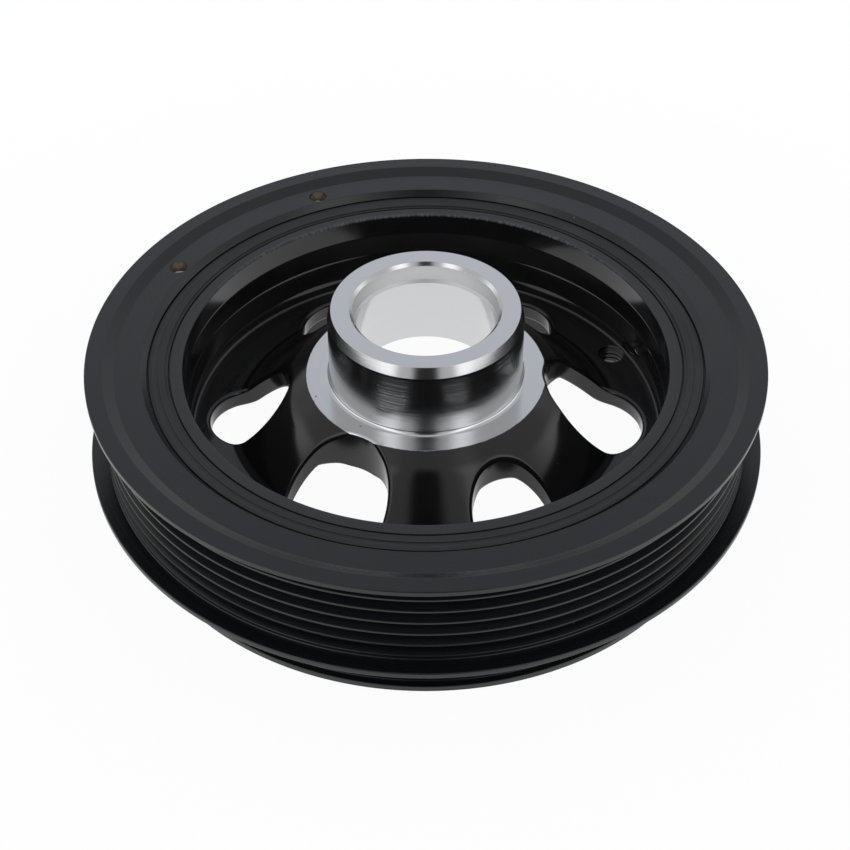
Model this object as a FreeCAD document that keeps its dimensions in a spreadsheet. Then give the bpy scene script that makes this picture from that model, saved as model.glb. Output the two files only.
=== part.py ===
import FreeCAD, Part
import math
import os
import Sketcher

# Belt pulley with a bonded rubber damper ring, in millimetres.
# The origin is the centre of the rear face of the belt ring, and +Z runs along the
# axis towards the nose. Heights are measured from that rear face.

# Each size: the word that names it, its value, and what it is.
SIZES = [
    # belt ring, belt seat
    ("seat_radius", 79.0, "radius over the tips of the ribs"),
    ("end_land", 1.0, "plain land between a flange and the nearest groove"),
    ("groove_count", 6, "belt grooves"),
    ("groove_pitch", 3.56, "pitch of the belt grooves"),
    ("groove_tip", 0.55, "width of a rib at its tip"),
    ("groove_depth", 2.9, "depth of a groove"),
    ("groove_angle", 40, "angle between the two sides of a groove, in degrees"),
    # belt ring, flanges, neck and lip
    ("front_flange_depth", 3.5, "height of the front flange over the seat"),
    ("front_flange_edge", 1.4, "thickness of the front flange at its edge"),
    ("front_flange_root", 2.1, "thickness of the front flange at the seat"),
    ("rear_flange_depth", 4.5, "height of the rear flange over the seat"),
    ("rear_flange_edge", 1.5, "thickness of the rear flange at its edge"),
    ("rear_flange_rise", 0.2, "rise of the rear flange from its root to its edge"),
    ("neck_depth", 6.0, "depth of the neck behind the rear flange, under the seat"),
    ("neck_fillet", 1.0, "fillet between the neck and the rear flange"),
    ("lip_rise", 1.75, "height of the lip at the rear face over the neck"),
    ("lip_width", 1.7, "width of that lip"),
    ("edge_break", 0.25, "small chamfer on the edges of the flanges and the lip"),
    # belt ring, front face and bore
    ("ring_height", 40.7, "front face of the ring above its rear face"),
    ("ring_wall", 11.2, "wall between the ring's bore and the belt seat"),
    ("outer_band", 4.2, "width of the raised outer band of the front face"),
    ("band_slope", 2.7, "width of the slope from the outer band to the inner band"),
    ("band_step", 1.3, "drop from the outer band to the inner band"),
    ("bore_chamfer", 1.4, "chamfer from the inner band into the ring's bore"),
    ("rear_chamfer", 1.0, "chamfer of the ring's bore at the rear"),
    # belt ring, balance holes
    ("balance_offset", 4.4, "distance of a balance hole's centre from the ring's bore"),
    ("balance_radius", 2.3, "radius of a balance hole"),
    ("balance_depth", 3.0, "depth of a balance hole to the end of its wall"),
    ("balance_point", 118, "angle of the drill point in a balance hole, in degrees"),
    ("balance_first", 113.7, "direction of the first balance hole, in degrees"),
    ("balance_second", 151.6, "direction of the second balance hole, in degrees"),
    # rubber ring
    ("rubber_width", 5.55, "width of the rubber from the hub's rim to the belt ring"),
    ("front_recess", 2.75, "drop from the ring's front face to the rubber and the hub's rim"),
    ("rubber_rear", 3.0, "rear face of the rubber"),
    ("gutter_width", 0.4, "width of the gutter along each bonded edge of the rubber"),
    ("gutter_depth", 0.6, "depth of that gutter"),
    ("bead_offset", 1.15, "distance of the raised bead on the rubber from the hub's rim"),
    ("bead_width", 1.6, "width of that bead"),
    ("bead_rise", 0.25, "rise of that bead"),
    # hub, rim and web
    ("rim_wall", 3.05, "wall of the rim at its top"),
    ("rim_thickening", 0.4, "thickening of the rim's wall towards the web"),
    ("thickening_end", 15.4, "height over the web up to which the wall is thickened"),
    ("thickening_full", 9.5, "height over the web up to which it has its full thickness"),
    ("rim_rear", 1.8, "rear edge of the rim"),
    ("rim_front_fillet", 0.7, "fillet between the rim and the web's front face"),
    ("rim_rear_fillet", 3.4, "fillet between the rim and the web's rear face"),
    ("web_height", 17.0, "front face of the web"),
    ("web_thickness", 4.9, "thickness of the web"),
    ("web_width", 11.8, "width of the flat web between the cone and the rim"),
    # hub, cone and flange
    ("cone_height", 15.9, "height of the flange over the web"),
    ("cone_fillet", 6.0, "fillet between the cone and the web"),
    ("cone_foot_inset", 1.5, "inset of the cone's foot on the rear side"),
    ("shoulder_width", 4.6, "width of the shoulder outside the flange"),
    ("shoulder_bulge", 0.95, "rise of the shoulder over the straight line from flange to web"),
    ("shoulder_fillet", 20.0, "rounding of the shoulder"),
    ("flange_width", 5.7, "width of the flange round the nose"),
    # hub, nose and bore
    ("bore_radius", 17.0, "radius of the main bore"),
    ("counterbore_step", 0.6, "radial step from the bore to the shallow counterbore"),
    ("counterbore_depth", 4.8, "depth of that counterbore"),
    ("counterbore_taper", 0.7, "length of the taper from the counterbore to the bore"),
    ("mouth_chamfer", 0.8, "chamfer at the mouth of the bore"),
    ("nose_wall", 6.7, "wall of the nose round the main bore"),
    ("nose_length", 19.7, "length of the nose over the flange"),
    ("nose_fillet", 1.2, "fillet at the foot of the nose"),
    ("lead_in_width", 0.9, "radial width of the lead-in chamfer of the nose"),
    ("lead_in_length", 2.8, "length of that chamfer along the axis"),
    # hub, recess for the centre bolt
    ("bolt_seat_drop", 3.0, "drop from the flange to the seat of the centre bolt"),
    ("bolt_seat_width", 9.5, "width of that seat round the bore"),
    ("bolt_recess_depth", 7.4, "depth of the recess round the centre bolt"),
    ("boss_width", 8.5, "width of the boss's rear face round that recess"),
    # hub, windows and puller holes
    ("window_count", 3, "windows of each of the two sizes"),
    ("window_turn", -1.4, "direction of the first wide window, in degrees"),
    ("window_margin", 4.95, "distance of every window from the inside of the rim"),
    ("wide_window_radius", 12.65, "radius of a wide window"),
    ("narrow_window_radius", 10.3, "radius of a narrow window"),
    ("puller_count", 2, "puller holes"),
    ("puller_turn", 28.0, "direction of the first puller hole, in degrees"),
    ("puller_margin", 0.4, "distance of a puller hole from the foot of the rim"),
    ("puller_radius", 3.4, "radius of a puller hole inside its thread"),
]

# Radii, from the belt seat inwards to the web, and from the bore outwards to the cone.
FRONT_FLANGE_RADIUS = "(Sizes.seat_radius + Sizes.front_flange_depth)"
REAR_FLANGE_RADIUS = "(Sizes.seat_radius + Sizes.rear_flange_depth)"
NECK_RADIUS = "(Sizes.seat_radius - Sizes.neck_depth)"
RING_BORE_RADIUS = "(Sizes.seat_radius - Sizes.ring_wall)"
RIM_OUTER_RADIUS = f"({RING_BORE_RADIUS} - Sizes.rubber_width)"
RIM_INNER_RADIUS = f"({RIM_OUTER_RADIUS} - Sizes.rim_wall)"
RIM_FOOT_RADIUS = f"({RIM_INNER_RADIUS} - Sizes.rim_thickening)"
CONE_FOOT_RADIUS = f"({RIM_INNER_RADIUS} - Sizes.web_width)"
COUNTERBORE_RADIUS = "(Sizes.bore_radius + Sizes.counterbore_step)"
NOSE_RADIUS = "(Sizes.bore_radius + Sizes.nose_wall)"
FLANGE_RADIUS = f"({NOSE_RADIUS} + Sizes.flange_width)"
BOLT_RECESS_RADIUS = "(Sizes.bore_radius + Sizes.bolt_seat_width)"

# Heights above the rear face of the belt ring.
INNER_BAND_HEIGHT = "(Sizes.ring_height - Sizes.band_step)"
RECESSED_HEIGHT = "(Sizes.ring_height - Sizes.front_recess)"
SEAT_TOP = "(Sizes.ring_height - Sizes.front_flange_root)"
BELT_WIDTH = "(2 * Sizes.end_land + Sizes.groove_count * Sizes.groove_pitch - Sizes.groove_tip)"
SEAT_LOW = f"({SEAT_TOP} - {BELT_WIDTH})"
REAR_FLANGE_TOP = f"({SEAT_LOW} + Sizes.rear_flange_rise)"
REAR_FLANGE_LOW = f"({REAR_FLANGE_TOP} - Sizes.rear_flange_edge)"
WEB_REAR_HEIGHT = "(Sizes.web_height - Sizes.web_thickness)"
FLANGE_HEIGHT = "(Sizes.web_height + Sizes.cone_height)"
NOSE_HEIGHT = f"({FLANGE_HEIGHT} + Sizes.nose_length)"
COUNTERBORE_FLOOR = f"({NOSE_HEIGHT} - Sizes.counterbore_depth)"
BOLT_SEAT_HEIGHT = f"({FLANGE_HEIGHT} - Sizes.bolt_seat_drop)"
BOSS_FACE_HEIGHT = f"({BOLT_SEAT_HEIGHT} - Sizes.bolt_recess_depth)"

# The shoulder stands a little proud of the straight line from the flange to the web.
SHOULDER_SHARE = f"Sizes.shoulder_width / ({CONE_FOOT_RADIUS} - {FLANGE_RADIUS})"
SHOULDER_HEIGHT = f"({FLANGE_HEIGHT} - Sizes.cone_height * {SHOULDER_SHARE} + Sizes.shoulder_bulge)"

SAME_PLACE = 1e-4

doc = FreeCAD.newDocument("belt_pulley")


def fill_sheet():
    """Writes every driving size into the sheet, with its note and its alias."""
    sheet = doc.addObject("Spreadsheet::Sheet", "Sizes")
    for row, (alias, value, note) in enumerate(SIZES, start=1):
        sheet.set(f"A{row}", note)
        sheet.set(f"B{row}", str(value))
        sheet.setAlias(f"B{row}", alias)
    doc.recompute()


def new_body(label):
    """An empty body that stands at the origin of the part."""
    body = doc.addObject("PartDesign::Body", label)
    body.Label = label
    body.Placement = FreeCAD.Placement()
    return body


def new_sketch(body, name, plane):
    """An empty sketch on one of the body's own origin planes."""
    sketch = body.newObject("Sketcher::SketchObject", name)
    support = [item for item in body.Origin.OriginFeatures if item.Role == plane]
    sketch.AttachmentSupport = (support[0], "")
    sketch.MapMode = "FlatFace"
    return sketch


def hold_point(sketch, geometry, point, across, along):
    """Ties one point of the sketch to two expressions, measured from the origin."""
    for axis, expression in (("DistanceX", across), ("DistanceY", along)):
        if expression == "0":
            sketch.addConstraint(Sketcher.Constraint("PointOnObject", geometry, point, -1))
            continue
        number = sketch.addConstraint(Sketcher.Constraint(axis, -1, 1, geometry, point, 1.0))
        sketch.setExpression(f"Constraints[{number}]", expression)


def draw_outline(sketch, corners):
    """A closed outline of straight lines; each corner is (name, radius, height)."""
    count = len(corners)
    rough = []
    for index in range(count):
        turn = 2 * math.pi * index / count
        rough.append(FreeCAD.Vector(50 + 20 * math.cos(turn), 30 + 20 * math.sin(turn), 0))
    for index in range(count):
        sketch.addGeometry(Part.LineSegment(rough[index], rough[(index + 1) % count]))
    for index in range(count):
        sketch.addConstraint(Sketcher.Constraint("Coincident", index, 2, (index + 1) % count, 1))
    for index, (name, radius, height) in enumerate(corners):
        hold_point(sketch, index, 1, radius, height)


def draw_circle(sketch, circle, direction, radius):
    """A circle whose centre lies at a distance and a direction from the axis."""
    centre = FreeCAD.Vector(10, 10, 0)
    index = sketch.addGeometry(Part.Circle(centre, FreeCAD.Vector(0, 0, 1), 1.0))
    hold_point(sketch, index, 3,
               f"{circle} * cos({direction} * 1 deg)", f"{circle} * sin({direction} * 1 deg)")
    number = sketch.addConstraint(Sketcher.Constraint("Radius", index, 1.0))
    sketch.setExpression(f"Constraints[{number}]", radius)


def revolve(body, kind, name, corners):
    """Turns an outline in the XZ plane right round the axis, to add or to cut.

    Returns the solved place of each named corner, as (radius, height).
    """
    sketch = new_sketch(body, f"{name}_outline", "XZ_Plane")
    draw_outline(sketch, corners)
    turned = body.newObject(kind, name)
    turned.Profile = sketch
    turned.ReferenceAxis = (sketch, ["V_Axis"])
    turned.Angle = 360
    sketch.Visibility = False
    doc.recompute()
    places = {}
    for index, (corner, radius, height) in enumerate(corners):
        point = sketch.Geometry[index].StartPoint
        places[corner] = (point.x, point.y)
    return places


def circle_at(feature, place):
    """Name of the full circular edge that lies at a (radius, height)."""
    radius, height = place
    for number, edge in enumerate(feature.Shape.Edges, start=1):
        curve = edge.Curve
        if isinstance(curve, Part.Circle) and abs(curve.Radius - radius) < SAME_PLACE \
                and abs(curve.Center.z - height) < SAME_PLACE:
            return f"Edge{number}"
    raise RuntimeError(f"{feature.Name} has no circular edge at {radius}, {height}")


def dress(body, kind, name, size, places):
    """A fillet or a chamfer, of a size from the sheet, on circular edges of the body."""
    base = body.Tip
    feature = body.newObject(kind, name)
    feature.Base = (base, [circle_at(base, place) for place in places])
    feature.setExpression("Radius" if kind == "PartDesign::Fillet" else "Size", size)
    doc.recompute()


def check_cut(body, name, before):
    """Stops the build where a cut has taken nothing away."""
    if body.Shape.Volume > before - SAME_PLACE:
        raise RuntimeError(f"{name} cuts nothing")


def cut_through(body, name, circle, direction, radius, count):
    """Round holes through the body along the axis, evenly spaced round it."""
    before = body.Shape.Volume
    sketch = new_sketch(body, f"{name}_outline", "XY_Plane")
    draw_circle(sketch, circle, direction, radius)
    pocket = body.newObject("PartDesign::Pocket", name)
    pocket.Profile = sketch
    pocket.Type = "ThroughAll"
    pocket.Reversed = True
    sketch.Visibility = False
    doc.recompute()
    pattern = body.newObject("PartDesign::PolarPattern", f"{name}_pattern")
    pattern.Originals = [pocket]
    pattern.Axis = (sketch, ["N_Axis"])
    pattern.Angle = 360
    pattern.setExpression("Occurrences", count)
    body.Tip = pattern
    doc.recompute()
    check_cut(body, name, before)


def cut_belt_grooves(body):
    """The lowest belt groove, repeated up the belt seat at the pitch of the belt."""
    before = body.Shape.Volume
    mouth_low = f"{SEAT_LOW} + Sizes.end_land"
    mouth_high = f"{mouth_low} + Sizes.groove_pitch - Sizes.groove_tip"
    floor = "Sizes.seat_radius - Sizes.groove_depth"
    narrowing = "Sizes.groove_depth * tan(Sizes.groove_angle * 1 deg / 2)"
    revolve(body, "PartDesign::Groove", "belt_groove", [
        ("mouth_low", "Sizes.seat_radius", mouth_low),
        ("mouth_high", "Sizes.seat_radius", mouth_high),
        ("floor_high", floor, f"{mouth_high} - {narrowing}"),
        ("floor_low", floor, f"{mouth_low} + {narrowing}"),
    ])
    check_cut(body, "belt_groove", before)
    groove = body.Tip
    pattern = body.newObject("PartDesign::LinearPattern", "belt_grooves")
    pattern.Originals = [groove]
    pattern.Direction = (groove.Profile[0], ["V_Axis"])
    pattern.setExpression("Length", "(Sizes.groove_count - 1) * Sizes.groove_pitch")
    pattern.setExpression("Occurrences", "Sizes.groove_count")
    body.Tip = pattern
    doc.recompute()


def drill_balance_holes(body):
    """Two shallow drilled holes in the inner band of the front face."""
    before = body.Shape.Volume
    sketch = new_sketch(body, "balance_centres", "XY_Plane")
    sketch.setExpression("AttachmentOffset.Base.z", INNER_BAND_HEIGHT)
    circle = f"({RING_BORE_RADIUS} + Sizes.balance_offset)"
    for direction in ("Sizes.balance_first", "Sizes.balance_second"):
        draw_circle(sketch, circle, direction, "Sizes.balance_radius")
    doc.recompute()
    hole = body.newObject("PartDesign::Hole", "balance_holes")
    hole.Profile = sketch
    doc.recompute()
    hole.DepthType = "Dimension"
    hole.DrillPoint = "Angled"
    hole.setExpression("Diameter", "2 * Sizes.balance_radius")
    hole.setExpression("Depth", "Sizes.balance_depth")
    hole.setExpression("DrillPointAngle", "Sizes.balance_point")
    sketch.Visibility = False
    doc.recompute()
    check_cut(body, "balance_holes", before)


def make_pulley_ring():
    """The outer ring: front face, belt grooves, two flanges, neck and rear lip."""
    body = new_body("pulley_ring")
    flange_edge_low = "Sizes.ring_height - Sizes.front_flange_edge"
    lip_radius = f"{NECK_RADIUS} + Sizes.lip_rise"
    band_foot = f"{FRONT_FLANGE_RADIUS} - Sizes.outer_band - Sizes.band_slope"
    places = revolve(body, "PartDesign::Revolution", "ring_blank", [
        ("bore_rear", RING_BORE_RADIUS, "0"),
        ("bore_front", RING_BORE_RADIUS, f"{INNER_BAND_HEIGHT} - Sizes.bore_chamfer"),
        ("inner_band_start", f"{RING_BORE_RADIUS} + Sizes.bore_chamfer", INNER_BAND_HEIGHT),
        ("inner_band_end", band_foot, INNER_BAND_HEIGHT),
        ("outer_band_start", f"{FRONT_FLANGE_RADIUS} - Sizes.outer_band", "Sizes.ring_height"),
        ("front_flange_top", FRONT_FLANGE_RADIUS, "Sizes.ring_height"),
        ("front_flange_low", FRONT_FLANGE_RADIUS, flange_edge_low),
        ("seat_top", "Sizes.seat_radius", SEAT_TOP),
        ("seat_low", "Sizes.seat_radius", SEAT_LOW),
        ("rear_flange_top", REAR_FLANGE_RADIUS, REAR_FLANGE_TOP),
        ("rear_flange_low", REAR_FLANGE_RADIUS, REAR_FLANGE_LOW),
        ("neck_top", NECK_RADIUS, REAR_FLANGE_LOW),
        ("neck_low", NECK_RADIUS, "Sizes.lip_width"),
        ("lip_top", lip_radius, "Sizes.lip_width"),
        ("lip_low", lip_radius, "0"),
    ])
    outer_edges = ("front_flange_top", "front_flange_low", "rear_flange_top",
                   "rear_flange_low", "lip_top", "lip_low")
    dress(body, "PartDesign::Chamfer", "edge_breaks", "Sizes.edge_break",
          [places[corner] for corner in outer_edges])
    dress(body, "PartDesign::Fillet", "neck_round", "Sizes.neck_fillet", [places["neck_top"]])
    dress(body, "PartDesign::Chamfer", "rear_bore_chamfer", "Sizes.rear_chamfer",
          [places["bore_rear"]])
    cut_belt_grooves(body)
    drill_balance_holes(body)
    return body


def make_damper_rubber():
    """The rubber between rim and belt ring, with a gutter along each bond and a bead."""
    body = new_body("damper_rubber")
    gutter_floor = f"{RECESSED_HEIGHT} - Sizes.gutter_depth"
    crest = f"{RECESSED_HEIGHT} + Sizes.bead_rise"
    inner_gutter = f"{RIM_OUTER_RADIUS} + Sizes.gutter_width"
    outer_gutter = f"{RING_BORE_RADIUS} - Sizes.gutter_width"
    bead_start = f"{RIM_OUTER_RADIUS} + Sizes.bead_offset"
    bead_end = f"{bead_start} + Sizes.bead_width"
    revolve(body, "PartDesign::Revolution", "rubber_band", [
        ("inner_rear", RIM_OUTER_RADIUS, "Sizes.rubber_rear"),
        ("inner_gutter_floor", RIM_OUTER_RADIUS, gutter_floor),
        ("inner_gutter_end", inner_gutter, gutter_floor),
        ("face_start", inner_gutter, RECESSED_HEIGHT),
        ("bead_start", bead_start, RECESSED_HEIGHT),
        ("bead_start_crest", bead_start, crest),
        ("bead_end_crest", bead_end, crest),
        ("bead_end", bead_end, RECESSED_HEIGHT),
        ("face_end", outer_gutter, RECESSED_HEIGHT),
        ("outer_gutter_start", outer_gutter, gutter_floor),
        ("outer_gutter_floor", RING_BORE_RADIUS, gutter_floor),
        ("outer_rear", RING_BORE_RADIUS, "Sizes.rubber_rear"),
    ])
    return body


def make_hub():
    """The cast hub: nose, stepped bore, flange, cone, web with windows, and rim."""
    body = new_body("hub")
    mouth_radius = f"{COUNTERBORE_RADIUS} + Sizes.mouth_chamfer"
    lead_in_radius = f"{NOSE_RADIUS} - Sizes.lead_in_width"
    shoulder_radius = f"{FLANGE_RADIUS} + Sizes.shoulder_width"
    cone_foot_rear = f"{CONE_FOOT_RADIUS} - Sizes.cone_foot_inset"
    boss_face_end = f"{BOLT_RECESS_RADIUS} + Sizes.boss_width"
    places = revolve(body, "PartDesign::Revolution", "hub_blank", [
        ("bore_rear", "Sizes.bore_radius", BOLT_SEAT_HEIGHT),
        ("taper_start", "Sizes.bore_radius", f"{COUNTERBORE_FLOOR} - Sizes.counterbore_taper"),
        ("counterbore_floor", COUNTERBORE_RADIUS, COUNTERBORE_FLOOR),
        ("mouth_start", COUNTERBORE_RADIUS, f"{NOSE_HEIGHT} - Sizes.mouth_chamfer"),
        ("mouth_end", mouth_radius, NOSE_HEIGHT),
        ("lead_in_start", lead_in_radius, NOSE_HEIGHT),
        ("lead_in_end", NOSE_RADIUS, f"{NOSE_HEIGHT} - Sizes.lead_in_length"),
        ("nose_foot", NOSE_RADIUS, FLANGE_HEIGHT),
        ("flange_edge", FLANGE_RADIUS, FLANGE_HEIGHT),
        ("shoulder", shoulder_radius, SHOULDER_HEIGHT),
        ("cone_foot", CONE_FOOT_RADIUS, "Sizes.web_height"),
        ("rim_foot", RIM_FOOT_RADIUS, "Sizes.web_height"),
        ("thickening_full", RIM_FOOT_RADIUS, "Sizes.web_height + Sizes.thickening_full"),
        ("thickening_end", RIM_INNER_RADIUS, "Sizes.web_height + Sizes.thickening_end"),
        ("rim_top_inner", RIM_INNER_RADIUS, RECESSED_HEIGHT),
        ("rim_top_outer", RIM_OUTER_RADIUS, RECESSED_HEIGHT),
        ("rim_rear_outer", RIM_OUTER_RADIUS, "Sizes.rim_rear"),
        ("rim_rear_inner", RIM_INNER_RADIUS, "Sizes.rim_rear"),
        ("rim_foot_rear", RIM_INNER_RADIUS, WEB_REAR_HEIGHT),
        ("cone_foot_rear", cone_foot_rear, WEB_REAR_HEIGHT),
        ("boss_face_end", boss_face_end, BOSS_FACE_HEIGHT),
        ("boss_face_start", BOLT_RECESS_RADIUS, BOSS_FACE_HEIGHT),
        ("bolt_seat_end", BOLT_RECESS_RADIUS, BOLT_SEAT_HEIGHT),
    ])
    rounds = (
        ("nose_round", "Sizes.nose_fillet", ("nose_foot",)),
        ("shoulder_round", "Sizes.shoulder_fillet", ("shoulder",)),
        ("cone_rounds", "Sizes.cone_fillet", ("cone_foot", "cone_foot_rear")),
        ("rim_front_round", "Sizes.rim_front_fillet", ("rim_foot",)),
        ("rim_rear_round", "Sizes.rim_rear_fillet", ("rim_foot_rear",)),
    )
    for name, size, corners in rounds:
        dress(body, "PartDesign::Fillet", name, size, [places[corner] for corner in corners])

    window_end = f"({RIM_INNER_RADIUS} - Sizes.window_margin)"
    cut_through(body, "wide_window", f"({window_end} - Sizes.wide_window_radius)",
                "Sizes.window_turn", "Sizes.wide_window_radius", "Sizes.window_count")
    cut_through(body, "narrow_window", f"({window_end} - Sizes.narrow_window_radius)",
                "(Sizes.window_turn + 180 / Sizes.window_count)",
                "Sizes.narrow_window_radius", "Sizes.window_count")
    puller_circle = f"({RIM_FOOT_RADIUS} - Sizes.puller_margin - Sizes.puller_radius)"
    cut_through(body, "puller_hole", puller_circle, "Sizes.puller_turn",
                "Sizes.puller_radius", "Sizes.puller_count")
    return body


def check_document(bodies):
    """Stops the build where an object has failed or a body is not one valid solid."""
    for item in doc.Objects:
        if "Invalid" in item.State or "Error" in item.State:
            raise RuntimeError(f"{item.Name}: {item.State}")
    for body in bodies:
        shape = body.Shape
        if shape.isNull() or not shape.isValid() or len(shape.Solids) != 1:
            raise RuntimeError(f"{body.Label} is not one valid solid")


def write_parts(bodies):
    """Writes each body's shape to the file that carries its label."""
    os.makedirs("parts", exist_ok=True)
    for body in bodies:
        body.Shape.exportStep(f"parts/{body.Label}.step")
        print(f"{body.Label}: {body.Shape.Volume:.1f} mm3")


fill_sheet()
pieces = [make_hub(), make_damper_rubber(), make_pulley_ring()]
doc.recompute()
check_document(pieces)
write_parts(pieces)
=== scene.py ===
"""Looks of the belt pulley: the painted hub, the rubber ring, the grooved belt ring and the studio."""

import math

import bpy
import numpy
from bpy.props import FloatProperty, FloatVectorProperty, IntProperty, PointerProperty
from mathutils import Euler, Matrix, Vector
from mathutils.geometry import delaunay_2d_cdt


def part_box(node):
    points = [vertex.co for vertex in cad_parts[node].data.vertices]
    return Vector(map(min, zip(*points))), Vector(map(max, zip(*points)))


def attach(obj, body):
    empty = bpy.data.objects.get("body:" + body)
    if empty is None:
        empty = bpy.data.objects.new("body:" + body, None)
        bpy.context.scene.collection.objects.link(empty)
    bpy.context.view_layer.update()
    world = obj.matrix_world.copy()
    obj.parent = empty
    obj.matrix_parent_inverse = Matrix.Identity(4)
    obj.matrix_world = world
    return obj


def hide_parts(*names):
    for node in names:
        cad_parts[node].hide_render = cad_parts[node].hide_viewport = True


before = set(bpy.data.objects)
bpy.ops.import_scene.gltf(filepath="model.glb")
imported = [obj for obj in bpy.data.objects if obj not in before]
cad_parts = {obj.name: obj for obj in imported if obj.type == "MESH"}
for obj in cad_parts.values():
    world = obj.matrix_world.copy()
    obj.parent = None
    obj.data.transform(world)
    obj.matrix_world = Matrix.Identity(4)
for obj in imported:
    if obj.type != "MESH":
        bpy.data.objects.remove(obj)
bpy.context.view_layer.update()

MM = 0.001
RING_RADIUS = round(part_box("pulley_ring")[1][0] / MM, 3)
NOSE_TOP = round(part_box("hub")[1][2] / MM, 3)

bl_info = {
    "name": "Belt pulley looks",
    "version": (1, 0, 0),
    "blender": (4, 5, 0),
    "location": "3D View > Sidebar > Pulley",
    "description": "Builds the finished surfaces of a bonded belt pulley and a plain studio round it",
    "category": "Object",
}

# Sizes that the outlines and the finishes share, in millimetres. Height 0 is the rear face. The
# splits are the radii where the hub's dished sheets meet its turned surfaces.
BORE_RADIUS = 17.0
COUNTERBORE_RADIUS = 17.6
COUNTERBORE_FLOOR = 47.8
COUNTERBORE_TOP = 51.8
NOSE_RADIUS = 23.7
NOSE_SPLIT = 26.5
FLANGE_RADIUS = 29.4
FLANGE_HEIGHT = 32.9
WEB_HEIGHT = 17.0
BOSS_HEIGHT = 22.5
BOSS_SPLIT = 27.5
RIM_FOOT = 58.8
RIM_INNER = 59.2
RIM_OUTER = 62.25
RIM_TOP = 37.95
BOND_RADIUS = 67.8
BAND_HEIGHT = 39.4
BAND_START = 69.6
BAND_END = 75.2

# Outlines: corners as (radius, height, rounding), in millimetres.

HUB_FRONT = [
    (NOSE_SPLIT, FLANGE_HEIGHT, 0.0),
    (FLANGE_RADIUS, FLANGE_HEIGHT, 0.3),
    (34.0, 29.79, 20.0),
    (47.4, WEB_HEIGHT, 6.0),
    (RIM_FOOT, WEB_HEIGHT, 0.9),
    (RIM_FOOT, 18.5, 0.0),
]
# The faint ridges round the inside of the rim, as (radius, height, slope in degrees). The slopes
# only turn the surface's direction.
RIM_RIDGES = [
    (RIM_FOOT, 18.5, 0.0),
    (RIM_FOOT, 20.0, 9.0),
    (RIM_FOOT, 21.0, -12.0),
    (RIM_FOOT, 24.2, -14.0),
    (RIM_FOOT, 26.1, -14.0),
    (58.83, 26.8, 21.0),
    (59.18, 31.9, 18.0),
    (RIM_INNER, 32.4, 0.0),
]
HUB_RIM = [
    (RIM_INNER, 32.4, 0.0),
    (RIM_INNER, RIM_TOP, 0.35),
    (RIM_OUTER, RIM_TOP, 0.15),
    (RIM_OUTER, 1.8, 0.3),
    (RIM_INNER, 1.8, 0.6),
    (RIM_INNER, 9.6, 0.0),
]
HUB_REAR = [
    (RIM_INNER, 9.6, 0.0),
    (RIM_INNER, 12.1, 3.4),
    (45.9, 12.1, 6.0),
    (35.0, BOSS_HEIGHT, 1.2),
    (BOSS_SPLIT, BOSS_HEIGHT, 0.0),
]
HUB_NOSE = [
    (BOSS_SPLIT, BOSS_HEIGHT, 0.0),
    (26.5, BOSS_HEIGHT, 0.4),
    (26.5, 29.9, 0.5),
    (BORE_RADIUS, 29.9, 0.4),
    (BORE_RADIUS, 47.1, 0.0),
    (COUNTERBORE_RADIUS, COUNTERBORE_FLOOR, 0.0),
    (COUNTERBORE_RADIUS, COUNTERBORE_TOP, 0.1),
    (18.4, NOSE_TOP, 0.15),
    (22.8, NOSE_TOP, 0.12),
    (NOSE_RADIUS, 49.8, 0.15),
    (NOSE_RADIUS, FLANGE_HEIGHT, 1.2),
    (NOSE_SPLIT, FLANGE_HEIGHT, 0.0),
]

# Round windows and tapped holes: (centre radius, direction in degrees, radius, edge rounding).
WIDE_WINDOWS = [(41.6, angle, 12.65, 1.1) for angle in (-1.4, 118.6, 238.6)]
NARROW_WINDOWS = [(43.95, angle, 10.3, 1.1) for angle in (58.6, 178.6, 298.6)]
TAPPED_HOLES = [(55.0, angle, 3.4, 0.12) for angle in (28.0, 208.0)]
BALANCE_HOLES = [(72.2, angle, 2.3, 0.12) for angle in (113.7, 151.6)]
DRILL_FLOOR = 36.4
DRILL_HALF_ANGLE = math.radians(59.0)
THREAD_CREST = 3.1
THREAD_LOW = 12.5
THREAD_TOP = 16.9

RUBBER = [
    (RIM_OUTER, 3.0, 0.4),
    (RIM_OUTER, 37.35, 0.1),
    (62.65, 37.35, 0.12),
    (62.65, RIM_TOP, 0.2),
    (63.4, RIM_TOP, 0.1),
    (63.4, 38.2, 0.1),
    (65.0, 38.2, 0.1),
    (65.0, RIM_TOP, 0.1),
    (67.4, RIM_TOP, 0.2),
    (67.4, 37.35, 0.12),
    (BOND_RADIUS, 37.35, 0.1),
    (BOND_RADIUS, 3.0, 0.4),
]

GROOVE_COUNT = 6
GROOVE_PITCH = 3.56
GROOVE_MOUTH = 3.01
FIRST_MOUTH = 16.79
SEAT_RADIUS = 79.0
GROOVE_FLOOR = 76.1
GROOVE_FLANK = math.radians(20.0)

# How finely the surfaces are divided.
EDGE_STEPS = 5
WALL_ROWS = 9
OPENING_STEP = 0.8
OPENING_CLEARANCE = 0.12
PLAN_TOLERANCE = 1e-5
CHORD_SLACK = 0.9995

# The studio, in metres and degrees.
FLOOR_RADIUS = 0.3
FLOOR_SIDES = 96
FLOOR_HEIGHT = -0.0001
CAMERA_PLACE = (0.0, -0.35534, 0.32712)
CAMERA_DOWN = 41.284
CAMERA_YAW = 0.048
CAMERA_ROLL = -0.267
WHITE = (1.0, 1.0, 1.0, 1.0)


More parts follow.
